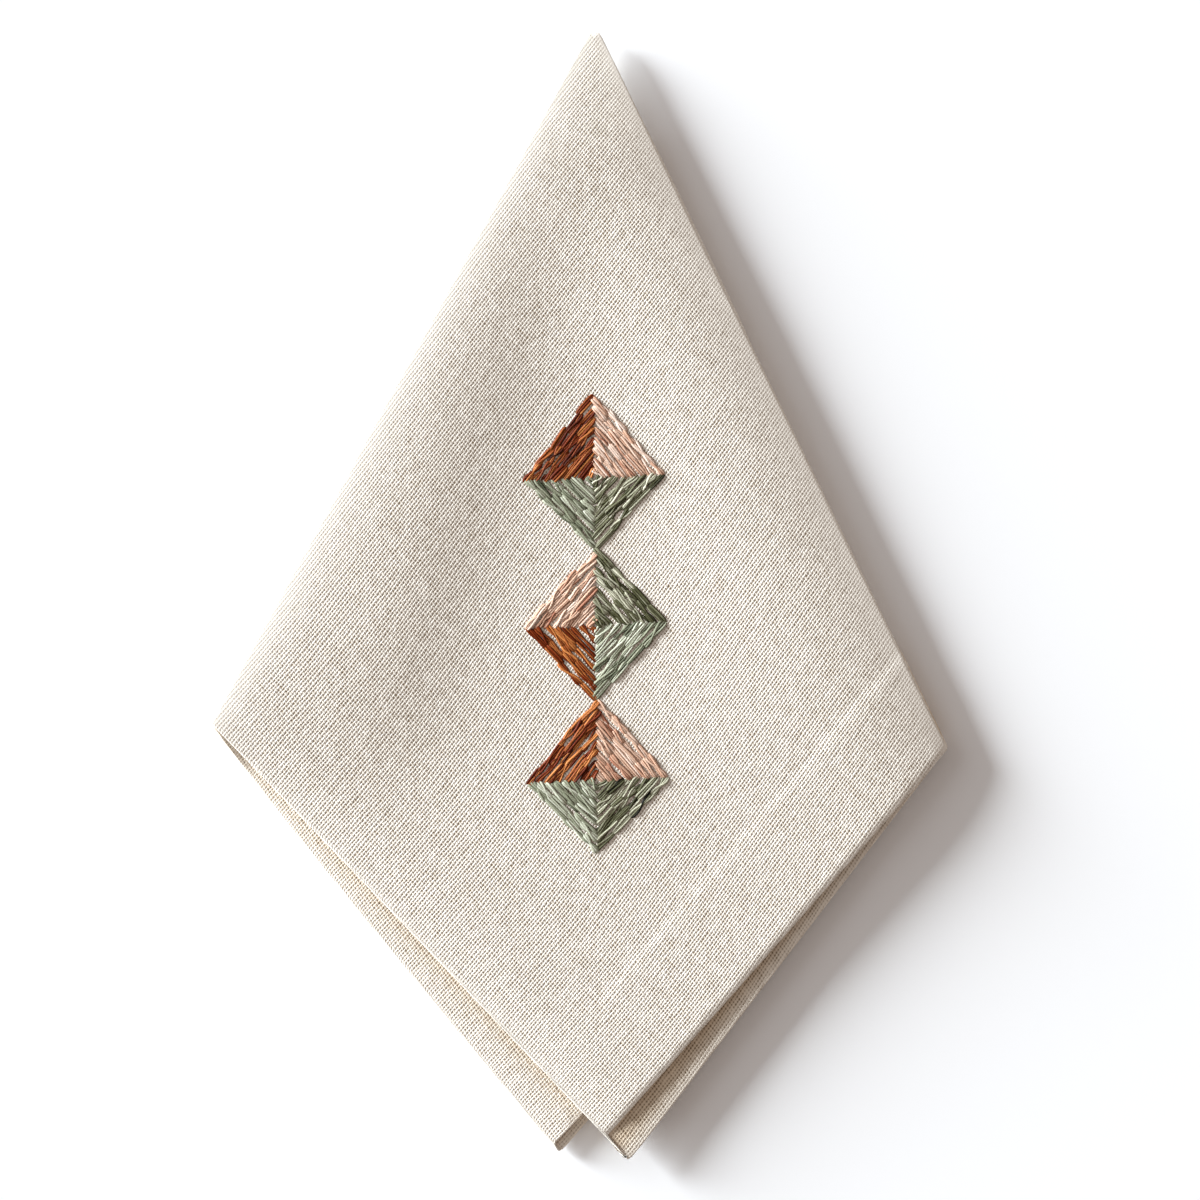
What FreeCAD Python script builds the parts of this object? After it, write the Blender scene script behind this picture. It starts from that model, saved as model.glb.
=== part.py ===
"""Linen table napkin, pressed into a kite-shaped fold, with three embroidered diamonds.

A hemmed square of linen is folded in half and in half again, which gives a quarter-size
square of four layers. It lies with one corner up, and its left and right corners are turned
behind, so that a long kite is left in front: the four layers run round both long edges and
end in two wings underneath. The three diamonds are worked in floss on the top layer.

Below the wings the front layers sag to the table, so the napkin rests on both wings and on
its lower tip.

Plan: +Y points from the lower tip to the top corner, +X to the right, +Z up.
The origin is the middle of the footprint, on the surface that the napkin lies on.
"""
import FreeCAD, Part
import math
import os

# ---- Driving dimensions, in millimetres and degrees ----
CLOTH_SIDE = 450.0            # the hemmed square, opened flat
CLOTH_THICK = 0.4             # one ply of mid-weight linen
LAYER_PITCH = 1.3             # one layer to the next: room for two facing hems
HEM_WIDTH = 28.0              # turned once, all round the square

CORNER_HALF_ANGLE = 42.65     # the quarter is drawn out a little on the bias, from 45
LEFT_EDGE_ANGLE = 28.9        # long left edge of the kite, from the centre line
RIGHT_EDGE_ANGLE = 26.1       # long right edge of the kite, from the centre line

# The layers have slipped a little on each other. Each lower tip is at a reach from the top
# corner, swung from the centre line, counted positive to the right.
TOP_TIP_REACH = 329.4
TOP_TIP_SWING = 0.4
SECOND_TIP_SHOWS = 9.0        # the second layer runs on past the top one, along their fold
BACK_TIP_REACH = 334.7        # third and fourth layers
BACK_TIP_SWING = -2.0

SAG_START = 248.0             # below the top corner, where the front begins to sink
SAG_END = 292.0               # where its lowest layer meets the table

FIRST_DIAMOND_DROP = 109.0    # top corner of the kite to the top of the first diamond
CENTRE_LINE_SHIFT = -1.2      # the diamonds sit a little left of the top corner
DIAMOND_SIDE = 30.8           # 34 threads of the cloth, along the grain
DIAMOND_TILT = 0.6            # the column of diamonds leans by this much
SEAM_TILT = 2.8               # and its cross seams rise to the right
ROWS_PER_FIELD = 7            # rows of floss from the outer edge of a field to its middle
STITCH_LENGTH = 8.5           # a row is as many stitches of about this as it has room for
STITCH_GAP = 0.3              # from one stitch to the next in its row
FLOSS_WIDTH = 2.0             # one stitch of stranded floss
FLOSS_HEIGHT = 0.5            # how proud of the cloth it stands
FIELD_GAP = 0.2               # from the end of a row to the next field

# Colour of the four fields of each diamond, clockwise from the upper left.
DIAMOND_COLOURS = {
    "upper": ("rust", "blush", "olive", "sage"),
    "middle": ("blush", "olive", "sage", "rust"),
    "lower": ("rust", "blush", "olive", "sage"),
}

# ---- Worked out from the driving dimensions ----
QUARTER_SIDE = CLOTH_SIDE / 2
LAYERS = (1, 2, 3, 4)
PAIRS = ((1, 2), (3, 4))                      # layers joined by the first fold
BEND_RADIUS = {layer: (4.5 - layer) * LAYER_PITCH for layer in LAYERS}
OUTER_RADIUS = BEND_RADIUS[1] + CLOTH_THICK / 2
BEND_HEIGHT = OUTER_RADIUS                    # axis of both long bends, above the surface
TOP_HEIGHT = 2 * OUTER_RADIUS
SAG_DROP = BEND_HEIGHT + BEND_RADIUS[4] - CLOTH_THICK / 2
UP = FreeCAD.Vector(0, 0, 1)
FAR = 2 * CLOTH_SIDE                          # longer than anything in the napkin


def plan_point(reach, bearing):
    """Point in plan, seen from the top corner: bearing is from straight down, right is plus."""
    turn = math.radians(bearing)
    return FreeCAD.Vector(reach * math.sin(turn), -reach * math.cos(turn), 0)


def crossing(start_a, end_a, start_b, end_b):
    """Where two lines of the plan, each given by two points, cross."""
    along_a = end_a - start_a
    along_b = end_b - start_b
    turn = along_a.x * along_b.y - along_a.y * along_b.x
    offset = start_b - start_a
    share = (offset.x * along_b.y - offset.y * along_b.x) / turn
    return start_a + along_a * share


def outward(start, end, inside):
    """Unit normal, in plan, of the line from start to end, on the side away from inside."""
    normal = (end - start).cross(UP).normalize()
    if normal.dot(inside - start) > 0:
        normal = normal * -1
    return normal


def plate(corners, low, high):
    """Flat piece of cloth with this outline in plan, between two heights."""
    outline = Part.makePolygon(list(corners) + [corners[0]])
    face = Part.Face(outline)
    face.translate(FreeCAD.Vector(0, 0, low))
    return face.extrude(FreeCAD.Vector(0, 0, high - low))


def sag(point):
    """How far the front layers have sunk at this place."""
    share = (-point.y - SAG_START) / (SAG_END - SAG_START)
    return SAG_DROP * min(max(share, 0), 1)


def sagging_plate(corners, low, high):
    """The same as a plate, sunk to the table below the wings."""
    stops = [FreeCAD.Vector(0, -drop, 0) for drop in (0, SAG_START, SAG_END, CLOTH_SIDE)]
    under = [stop + UP * (low - sag(stop)) for stop in stops]
    over = [stop + UP * (high - sag(stop)) for stop in reversed(stops)]
    face = Part.Face(Part.makePolygon(under + over + under[:1]))
    face.translate(FreeCAD.Vector(-FAR, 0, 0))
    sheet = face.extrude(FreeCAD.Vector(2 * FAR, 0, 0))
    return sheet.common(plate(corners, low - SAG_DROP, high))


def half_ring(start, end, inside, height, radius, thick):
    """Half tube of cloth bent round the line from start to end, on its outer side."""
    side = outward(start, end, inside)
    centre = start + UP * height
    inner = radius - thick / 2
    outer = radius + thick / 2
    edges = [Part.Arc(centre + UP * outer, centre + side * outer, centre - UP * outer).toShape()]
    if inner > 0:
        edges.append(Part.LineSegment(centre - UP * outer, centre - UP * inner).toShape())
        edges.append(Part.Arc(centre - UP * inner, centre + side * inner,
                              centre + UP * inner).toShape())
        edges.append(Part.LineSegment(centre + UP * inner, centre + UP * outer).toShape())
    else:
        edges.append(Part.LineSegment(centre - UP * outer, centre + UP * outer).toShape())
    return Part.Face(Part.Wire(edges)).extrude(end - start)


def sagging_rings(start, end, inside, height, radius, thick):
    """The same as a half ring, in as many straight lengths as the sag needs."""
    along = end - start
    stops = [start]
    for drop in (SAG_START, SAG_END):
        share = (-drop - start.y) / along.y
        if 0 < share < 1:
            stops.append(start + along * share)
    stops = sorted(stops + [end], key=lambda stop: (stop - start).Length)
    sunk = [stop - UP * sag(stop) for stop in stops]
    return [half_ring(first, last, inside, height, radius, thick)
            for first, last in zip(sunk, sunk[1:])]


# ---- Plan of the kite, with the top corner at zero ----
APEX = FreeCAD.Vector(0, 0, 0)


def shoulder(edge_angle):
    """Reach from the top corner, down a long edge, to where the quarter's lower side ends."""
    corner = math.sin(math.radians(2 * CORNER_HALF_ANGLE))
    return QUARTER_SIDE * corner / math.sin(math.radians(CORNER_HALF_ANGLE + abs(edge_angle)))


class Side:
    """One long edge of the kite: its bend, and the wing that is turned behind it."""

    def __init__(self, edge_angle):
        hand = math.copysign(1, edge_angle)
        self.shoulder = plan_point(shoulder(edge_angle), edge_angle)
        # The wing is the quarter's corner mirrored in the long edge.
        self.wing_corner = plan_point(QUARTER_SIDE, 2 * edge_angle - hand * CORNER_HALF_ANGLE)
        inset = outward(APEX, self.shoulder, self.wing_corner) * -OUTER_RADIUS
        self.axis_start = APEX + inset
        self.axis_end = self.shoulder + inset

    def bend_end(self, layer):
        """Where the bend's axis meets the lower side of this layer."""
        return crossing(self.axis_start, self.axis_end, self.shoulder, tip(layer))


def tip(layer):
    """Lower tip of a layer, counted from the top one."""
    if layer > 2:
        return plan_point(BACK_TIP_REACH, BACK_TIP_SWING)
    top = plan_point(TOP_TIP_REACH, TOP_TIP_SWING)
    if layer == 1:
        return top
    return top + (top - LEFT.shoulder).normalize() * SECOND_TIP_SHOWS


LEFT = Side(-LEFT_EDGE_ANGLE)
RIGHT = Side(RIGHT_EDGE_ANGLE)
# The axes of the two bends meet under the top corner.
MITRE = crossing(LEFT.axis_start, LEFT.axis_end, RIGHT.axis_start, RIGHT.axis_end)
MIDDLE = (LEFT.shoulder + RIGHT.shoulder) * 0.5


def front_height(layer):
    return BEND_HEIGHT + BEND_RADIUS[layer]


def wing_height(layer):
    return BEND_HEIGHT - BEND_RADIUS[layer]


def hem_side(layer):
    """+1 where the hem is turned on to the upper face of the front layer, else -1."""
    return 1 if layer % 2 == 0 else -1


def sector(side):
    """Everything between a bend's axis and the middle of the kite, to trim a wing at the top."""
    along = (side.axis_end - MITRE).normalize()
    down = (MIDDLE - MITRE).normalize()
    return plate([MITRE, MITRE + along * FAR, MITRE + down * FAR], -FAR, FAR)


def band(start, end, inside, low, high):
    """Strip of cloth as wide as the hem, inside the edge from start to end."""
    along = (end - start).normalize() * HEM_WIDTH
    inner = outward(start, end, inside) * -HEM_WIDTH
    return plate([start - along, end + along, end + along + inner, start - along + inner],
                 low, high)


def hemmed(outline, edges, height, turned):
    """Second ply of the hem along some edges of a layer, and its rounded outer fold."""
    near = height + turned * CLOTH_THICK / 2
    far = near + turned * CLOTH_THICK
    whole = sagging_plate(outline, min(near, far), max(near, far))
    pieces = []
    for start, end in edges:
        pieces.append(whole.common(band(start, end, MIDDLE, -FAR, FAR)))
        pieces += sagging_rings(start, end, MIDDLE, near, CLOTH_THICK / 2, CLOTH_THICK)
    return pieces


def front_panel(layer):
    """The part of a layer that lies in front, with the hem on its lower right side."""
    height = front_height(layer)
    right_end = RIGHT.bend_end(layer)
    outline = [MITRE, LEFT.bend_end(layer), tip(layer), right_end]
    pieces = [sagging_plate(outline, height - CLOTH_THICK / 2, height + CLOTH_THICK / 2)]
    pieces += hemmed(outline, [(tip(layer), right_end)], height, hem_side(layer))
    return pieces


def long_bend(layer, side):
    """The layer running round a long edge, mitred into the other bend at the top corner."""
    end = side.bend_end(layer)
    footprint = plate([MITRE, APEX, side.shoulder, end], 0, TOP_HEIGHT)
    radius = BEND_RADIUS[layer]
    reach = (end - MITRE).normalize() * FAR
    start = MITRE - reach
    ring = half_ring(start, start + reach * 2, MIDDLE, BEND_HEIGHT, radius, CLOTH_THICK)
    pieces = [ring.common(footprint)]
    if side is RIGHT:
        # The hem goes round with it: inside the bend on layers 1 and 3, outside on 2 and 4.
        ply_radius = radius + hem_side(layer) * CLOTH_THICK
        ply = half_ring(start, start + reach * 2, MIDDLE, BEND_HEIGHT, ply_radius, CLOTH_THICK)
        lower = band(tip(layer), side.shoulder, MIDDLE, 0, TOP_HEIGHT)
        pieces.append(ply.common(footprint).common(lower))
    return pieces


def left_wing_panel(layer):
    """The middle corner of the cloth, turned behind."""
    height = wing_height(layer)
    outline = [MITRE, LEFT.bend_end(layer), LEFT.wing_corner]
    return [plate(outline, height - CLOTH_THICK / 2, height + CLOTH_THICK / 2)]


def right_wing_panel(layer):
    """The four hemmed corners of the cloth, turned behind."""
    height = wing_height(layer)
    end = RIGHT.bend_end(layer)
    outline = [MITRE, end, RIGHT.wing_corner]
    pieces = [plate(outline, height - CLOTH_THICK / 2, height + CLOTH_THICK / 2)]
    edges = [(end, RIGHT.wing_corner), (RIGHT.wing_corner, MITRE)]
    trim = sector(RIGHT)
    for piece in hemmed(outline, edges, height, -hem_side(layer)):
        pieces.append(piece.common(trim))
    return pieces


def first_fold(upper, lower):
    """The fold that joins two neighbouring layers down the lower left side, and its wing."""
    radius = LAYER_PITCH / 2
    start = LEFT.bend_end(upper)
    front = (front_height(upper) + front_height(lower)) / 2
    behind = (wing_height(upper) + wing_height(lower)) / 2
    pieces = sagging_rings(start, tip(upper), MIDDLE, front, radius, CLOTH_THICK)
    pieces.append(half_ring(start, LEFT.wing_corner, MITRE, behind, radius, CLOTH_THICK))
    return pieces


def second_fold():
    """The fold down the free edge of the left wing: layer 1 to 4, with 2 to 3 inside it."""
    height = (wing_height(1) + wing_height(4)) / 2
    trim = sector(LEFT)
    pieces = []
    for radius in (LAYER_PITCH * 1.5, LAYER_PITCH * 0.5):
        ring = half_ring(MITRE, LEFT.wing_corner, LEFT.axis_end, height, radius, CLOTH_THICK)
        pieces.append(ring.common(trim))
    return pieces


def folded_cloth():
    """The whole napkin: one hemmed sheet, folded."""
    pieces = []
    for layer in LAYERS:
        pieces += front_panel(layer)
        pieces += long_bend(layer, LEFT)
        pieces += long_bend(layer, RIGHT)
        pieces += left_wing_panel(layer)
        pieces += right_wing_panel(layer)
    for upper, lower in PAIRS:
        pieces += first_fold(upper, lower)
    pieces += second_fold()
    return pieces[0].multiFuse(pieces[1:]).removeSplitter()


# ---- Embroidery ----
def on_grain(across, up):
    """Step along the two threads of the cloth: half diagonals of a diamond are (1, 0), (0, 1)."""
    half_wide = DIAMOND_SIDE * math.sin(math.radians(CORNER_HALF_ANGLE))
    half_high = DIAMOND_SIDE * math.cos(math.radians(CORNER_HALF_ANGLE))
    rise = across * half_wide * math.tan(math.radians(SEAM_TILT))
    return FreeCAD.Vector(across * half_wide, up * half_high + rise, 0)


def stitch(start, end):
    """One stitch of floss on the cloth: a low rounded bar that narrows to a point at each end."""
    along = (end - start).normalize()
    half = along.cross(UP) * (FLOSS_WIDTH / 2)
    arc = Part.Arc(start - half, start + UP * FLOSS_HEIGHT, start + half).toShape()
    chord = Part.LineSegment(start + half, start - half).toShape()
    bar = Part.Face(Part.Wire([arc, chord])).extrude(end - start)
    point = along * (FLOSS_WIDTH / 2)
    outline = [start, start + point + half, end - point + half,
               end, end - point - half, start + point - half]
    return bar.common(Part.Face(Part.makePolygon(outline + outline[:1])).extrude(UP))


def field(centre, across, up):
    """A quarter of a diamond: nested rows of stitches, parallel to its outer edge."""
    stitches = []
    for row in range(ROWS_PER_FIELD):
        reach = 1 - (row + 0.5) / (ROWS_PER_FIELD + 0.5)
        start = centre + on_grain(across * reach, 0)
        along = centre + on_grain(0, up * reach) - start
        room = along.Length - 2 * FIELD_GAP
        along.normalize()
        count = max(1, round(room / STITCH_LENGTH))
        step = room / count
        for place in range(count):
            first = FIELD_GAP + place * step + STITCH_GAP / 2
            last = first + step - STITCH_GAP
            stitches.append(stitch(start + along * first, start + along * last))
    return Part.Compound(stitches)


def embroidery():
    """Twelve fields of floss: three diamonds, tip to tip, of four colours each."""
    quarters = ((-1, 1), (1, 1), (1, -1), (-1, -1))
    half_high = on_grain(0, 1).Length
    shapes = {}
    for place, (name, colours) in enumerate(DIAMOND_COLOURS.items()):
        drop = half_high * (1 + 2 * place)
        lean = drop * math.tan(math.radians(DIAMOND_TILT))
        centre = FreeCAD.Vector(CENTRE_LINE_SHIFT + lean, -FIRST_DIAMOND_DROP - drop, TOP_HEIGHT)
        for (across, up), colour in zip(quarters, colours):
            shapes["floss_%s_%s" % (name, colour)] = field(centre, across, up)
    return shapes


def main():
    shapes = {"folded_cloth": folded_cloth()}
    shapes.update(embroidery())
    box = shapes["folded_cloth"].BoundBox
    to_origin = FreeCAD.Vector(-box.Center.x, -box.Center.y, -box.ZMin)
    os.makedirs("parts", exist_ok=True)
    for name, shape in shapes.items():
        shape.translate(to_origin)
        shape.exportStep("parts/%s.step" % name)


main()
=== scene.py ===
"""Linen napkin pressed into a kite fold, with three quartered diamonds worked in floss.

The cloth is one sheet. It is meshed flat, layer by layer, then folded in half, folded in
half again, and its two side corners are turned behind. A last step gives the layers their
heights: thin at the pressed edges, puffed inside, resting on the two wings and sinking to
the table between and below them. Everything is in metres.
"""
import math

import bpy
import numpy as np
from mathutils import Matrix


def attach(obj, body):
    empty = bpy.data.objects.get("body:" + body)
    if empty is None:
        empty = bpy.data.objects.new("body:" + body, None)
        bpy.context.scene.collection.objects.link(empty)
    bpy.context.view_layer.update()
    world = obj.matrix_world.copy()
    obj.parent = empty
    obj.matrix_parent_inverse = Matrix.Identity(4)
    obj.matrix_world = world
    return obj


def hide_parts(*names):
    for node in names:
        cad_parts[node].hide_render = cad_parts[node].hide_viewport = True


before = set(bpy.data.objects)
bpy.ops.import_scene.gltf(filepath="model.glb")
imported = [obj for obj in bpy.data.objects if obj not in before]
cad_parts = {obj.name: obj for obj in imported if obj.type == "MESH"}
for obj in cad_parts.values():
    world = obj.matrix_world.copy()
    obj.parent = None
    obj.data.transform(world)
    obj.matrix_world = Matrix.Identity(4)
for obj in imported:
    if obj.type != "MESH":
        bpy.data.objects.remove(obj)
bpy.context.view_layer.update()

# ---- Cloth, as cut and sewn ----
SIDE = 0.450                     # the hemmed square, opened flat
QUARTER = SIDE / 2
PLY = 0.00042                    # one ply of linen
HEM = 0.028                      # hem, turned on to the wrong side
HEM_EXTRA = 1.1                  # plies that it adds
HEM_FACE_EDGE = (HEM - 0.0006, HEM + 0.0009)     # its inner edge, as felt on the face
HEM_BACK_EDGE = (HEM - 0.0006, HEM + 0.0010)     # and on the wrong side
RIM_FLAT = 0.72                  # the hem's outer edge is flat over this share of its
RIM_OUT = 0.36                   # thickness, and stands out by this share of it
WARP = 0.00093                   # from one thread to the next, as in a coarse table linen
WEFT = 0.00099

# ---- How it is folded ----
LEAN = math.radians(42.65)       # half the corner angle: the quarter is drawn on the bias
FIRST_BEND = 0.00030             # radius of the quarter's first fold
SECOND_BEND = 0.0004             # and of its second, for each layer out from the middle
FOLD_CREASE = 0.16               # both are ironed: this much as wide as half their height
FOLD_OUT = 0.0022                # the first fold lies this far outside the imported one
EDGE_PITCH = {"left": 0.0010, "right": 0.00062}  # between layers in the long edges' bends
EDGE_CREASE = {"left": 0.05, "right": 0.14}      # this much as wide as half their height
TAPER = 0.045                    # bends open out over this far from the top corner,
CLOSED = 0.03                    # from this share of their radius
NOSE_RISE = (-0.0012, 0.0034)    # the long edges would meet here, past the rounded top
NOSE_ROUND = 0.0025              # which is drawn in to this radius,
NOSE_SOFT = 0.12                 # softly over this share of it
SHOULDER_SHIFT = {"left": (-0.0019, 0.0005), "right": (-0.0004, 0)}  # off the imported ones
TAKE_UP = 0.0055                 # cloth taken up in the puffed stack, across the quarter
FRONT_SLIP = 0.0008              # the front's first fold ends this far outside its tip
BACK_BOW = 0.75                  # the back's bows out: lower is rounder
CUTBACK = {1: 0.0088, 3: 0.0034}     # these layers' hems fall short of the next layer's,
CUTBACK_STARTS = (0.0001, 0.0011)    # from these distances up from the first fold,
CUTBACK_ENDS = 0.62              # to nothing at this share of the way up,
CUTBACK_PAST = -0.15             # and past there stand out by up to this share instead
TIP_ROUND = 0.0009               # the tips are rounded off by about this much,
TIP_ROUND_UP = 0.0009            # this far up from the first fold
TIP_ROUND_IN = 0.006             # and this far in from the hem's edge

# ---- Heights of the folded stack ----
# A layer's place is a number: +3.5 for the top layer down to +0.5 for the fourth, and the
# same below zero for the wings, mirrored by the long bends.
TOP_PLACE = 3.5
FIRST_FOLD_PLACE = 3             # the front's first fold is half-way between its layers
SECOND_FOLD_PLACE = 2            # and the second fold half-way down the stack
THIRD_PLACE = 1.5
BACK_BELOW = 2.2                 # the back pair and the wings are below this
CENTRE_TOP = 0.0072              # height of the top layer between the wings
WING_RISE = {"left": 0.0029, "right": 0.0010}    # more where a wing lies under it
WING_SOFT = {"left": 0.0170, "right": 0.0150}    # over this far across its free edge
WING_FOOT_SOFT = 0.020           # and across its lower side
WING_THIN = 0.25                 # only this share of it by the top corner,
WING_GROWS = (0.020, 0.130)      # and all of it past these distances from there
EDGE_DROP = {"left": 0.0002, "right": 0.0026}    # less at the long edges
EDGE_ROLL = {"left": 0.0200, "right": 0.0400}    # over this far inside them
TIP_DROP = 0.0008                # less at the lower tips,
TIP_SINKS = (0.215, 0.335)       # from and to these distances below the top corner
WINGED_MIDDLE = 0.47             # over a wing, the stack's middle is this share of its top
EDGE_MIDDLE = {"left": 0.0054, "right": 0.0027}  # height of the middle of each long bend
EDGE_REACH = 0.016               # which is felt this far inside the edge
APEX_MIDDLE = 0.0045             # height of the middle of the top corner,
PRESSED = 0.25                   # where the stack has this share of its thickness
FULL_PLY = 0.45                  # and a ply its own thickness from this share on
HEM_SWELLS = (0.012, 0.060)      # hems grow thick between these distances from there
HEM_RISE = 0.00012               # the hem lifts the top layer
HEM_ROLL = 0.00025               # whose very edge rolls down
HEM_ROLL_REACH = 0.002           # over this far
STRIP_RISE = 0.0016              # the back pair swells beside the front's first fold
STRIP_SOFT = 0.0036              # over about this far
STRIP_STARTS = (0.010, 0.080)    # and from these distances down from the shoulder
FOLD_CLOSED = 0.22               # two layers are this far from their middle at a first fold
FOLD_APART = 0.5
FOLD_OPENS = 0.014               # and stand fully apart this far from it

# ---- Ironing, and painted brown shade where lower layers lie under the front's edges: share of it, and distance over which it fades ----
PRESSED_EDGES = (0.94, 0.0054)
PRESSED_FIRST_FOLD = (0.60, 0.0020)
PRESSED_RIM = (0.60, 0.0012)
PRESSED_TOP_CORNER = 0.9
PAINTED_SHADE_BY_FOLD = (0.45, 0.0040)
PAINTED_SHADE_UNDER_HEM = (0.15, 0.85)   # at the very edge, and inside it
PAINTED_SHADE_DEEPENS = (0.0002, 0.0060)
PAINTED_SHADE_FADES = 0.030

# ---- How fine the mesh is ----
FINE_ROWS = (76, 20)             # rows above the hem and in it, for the two outer layers
COARSE_ROWS = (38, 12)           # and for the two inner ones
BEND_ROWS = 6                    # more rows at the very edge, where the first fold bends
BEND_DEPTH = 0.0006
HEM_ROWS_END = 0.97              # the hem's rows end at this share of it
PAST_HEM = 1.6                   # and closer rows go on to this many hems
TOP_ROW = 0.0004                 # the first row is this far from the top corner
# Rows crowd towards the open edge, past the hem and at the top corner: 1 would be even.
HEM_CROWDING, PAST_CROWDING, UPPER_CROWDING = 1.8, 1.5, 1.12
SPREAD_FROM = 0.080              # a ray's shift is a distance from here on, an angle before

# Small enough not to show, and enough to divide by.
LEAST_RADIUS = 1e-7
TINY = 1e-12


# ---- Plan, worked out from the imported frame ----
def cad_points(node):
    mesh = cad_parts[node].data
    points = np.empty(len(mesh.vertices) * 3)
    mesh.vertices.foreach_get("co", points)
    return points.reshape(-1, 3)


def furthest(points, x, y):
    """Plan of the point furthest in this direction."""
    return points[np.argmax(points[:, :2] @ np.array((x, y)))][:2]


def unit(vector):
    return vector / np.linalg.norm(vector)


def square_to(direction, towards):
    """Normal of a direction in plan, on the side of another one."""
    normal = np.array((-direction[1], direction[0]))
    return normal * np.sign(normal @ towards)


PACKED = cad_points("folded_cloth")
APEX = furthest(PACKED, 0, 1)
NOSE = APEX + NOSE_RISE
SHOULDERS = {"left": furthest(PACKED, -1, 0), "right": furthest(PACKED, 1, 0)}
FRONT_TIP = furthest(PACKED, 0.4, -1)                        # a little right of down
BACK_TIP = furthest(PACKED, -0.4, -1)                        # and a little left of it
DOWN_RIGHT = np.array((math.sin(LEAN), -math.cos(LEAN)))     # along the lower left side
UP_RIGHT = np.array((math.sin(LEAN), math.cos(LEAN)))        # along the upper left side
CENTRE_CORNER = NOSE - (QUARTER + FOLD_OUT) * UP_RIGHT       # the middle of the cloth
FRONT_FOLD = unit(FRONT_TIP - SHOULDERS["left"])             # the front's first fold
FRONT_OUT = square_to(FRONT_FOLD, (-1, -1))
FRONT_END = FRONT_TIP + FRONT_OUT * FRONT_SLIP
PIVOT = (SHOULDERS["left"] - CENTRE_CORNER) @ DOWN_RIGHT     # the pairs part from here on


class LongEdge:
    """A long edge of the kite: its direction, its outward normal and the wing behind it."""

    def __init__(self, side):
        self.pitch = EDGE_PITCH[side]
        self.crease = EDGE_CREASE[side]
        shoulder = SHOULDERS[side] + SHOULDER_SHIFT[side]
        hand = -1 if side == "left" else 1
        self.along = unit(shoulder - NOSE)
        self.out = square_to(self.along, (hand, 0))
        self.bearing = math.atan2(self.along[0], -self.along[1])
        # The wing's free edge is the quarter's open side, mirrored by the long edge.
        wing = 2 * self.bearing - hand * LEAN
        wing_along = np.array((math.sin(wing), -math.cos(wing)))
        self.wing_corner = NOSE + QUARTER * wing_along
        self.wing_in = square_to(wing_along, self.out)
        self.wing_up = square_to(unit(self.wing_corner - shoulder), (0, 1))


EDGES = {side: LongEdge(side) for side in SHOULDERS}
DOWN = unit(EDGES["left"].along + EDGES["right"].along)      # halves their angle
NOSE_SINE = -(DOWN @ EDGES["left"].out)


def smooth(value, low, high):
    share = np.clip((value - low) / (high - low), 0, 1)
    return share * share * (3 - 2 * share)


def step(distance, softness):
    """0 well outside an edge, 1 well inside it."""
    return 0.5 + 0.5 * np.tanh(distance / softness)


def mix(low, high, share):
    return low + (high - low) * share


def from_nose(plan):
    """Distance from where the long edges would meet."""
    return np.linalg.norm(plan - NOSE, axis=-1)


def inside(plan, side):
    """Distance inside a long edge."""
    return -((plan - NOSE) @ EDGES[side].out)


def hem_depth(along, up):
    """Distance inside the cloth's nearest open edge."""
    return QUARTER - np.maximum(along, up)


# ---- Heights ----
def cover(plan, side):
    """1 where a wing lies under the front, 0 where it does not."""
    edge = EDGES[side]
    across = (plan - NOSE) @ edge.wing_in
    up = (plan - edge.wing_corner) @ edge.wing_up
    growth = mix(WING_THIN, 1.0, smooth(from_nose(plan), *WING_GROWS))
    return step(across, WING_SOFT[side]) * step(up, WING_FOOT_SOFT) * growth


def opening(plan, least):
    """Grows from least at the top corner to 1 where the stack has opened out."""
    return mix(least, 1.0, smooth(from_nose(plan), 0, TAPER))


def levels(plan):
    """Heights of the top layer, of the middle of the stack and of the lowest layer."""
    top = CENTRE_TOP - TIP_DROP * smooth(APEX[1] - plan[..., 1], *TIP_SINKS)
    wings = 0.0
    for side in EDGES:
        under = cover(plan, side)
        wings = wings + under
        roll = np.clip(1 - inside(plan, side) / EDGE_ROLL[side], 0, 1) ** 3
        top = top + WING_RISE[side] * under - EDGE_DROP[side] * roll
    # With no wing below it, the fourth layer, a seventh of the way up, is on the table.
    bare_middle = PLY / 2 - (top - PLY / 2) / 6
    middle = mix(bare_middle, top * WINGED_MIDDLE, np.clip(wings, 0, 1))
    bottom = np.full_like(middle, PLY / 2)
    for side in EDGES:
        near = 1 - smooth(inside(plan, side), 0, EDGE_REACH)
        middle = mix(middle, EDGE_MIDDLE[side], near)
        bottom = mix(bottom, EDGE_MIDDLE[side] - TOP_PLACE * EDGE_PITCH[side], near)
    share = opening(plan, PRESSED)
    return [mix(APEX_MIDDLE, level, share) for level in (top, middle, bottom)]


def height(plan, place):
    """Height of the cloth's middle surface, for a layer's place in the stack."""
    top, middle, bottom = levels(plan)
    front = middle + place * (top - middle) / TOP_PLACE
    behind = middle + place * (middle - bottom) / TOP_PLACE
    from_shoulder = plan - SHOULDERS["left"]
    past_front = np.maximum(from_shoulder @ FRONT_OUT, 0)
    swell = STRIP_RISE * (1 - np.exp(-past_front / STRIP_SOFT))
    swell = swell * np.clip(place, 0, THIRD_PLACE) / THIRD_PLACE
    swell = swell * smooth(from_shoulder @ FRONT_FOLD, *STRIP_STARTS)
    return np.where(place >= 0, front, behind) + np.where(place < BACK_BELOW, swell, 0)


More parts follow.
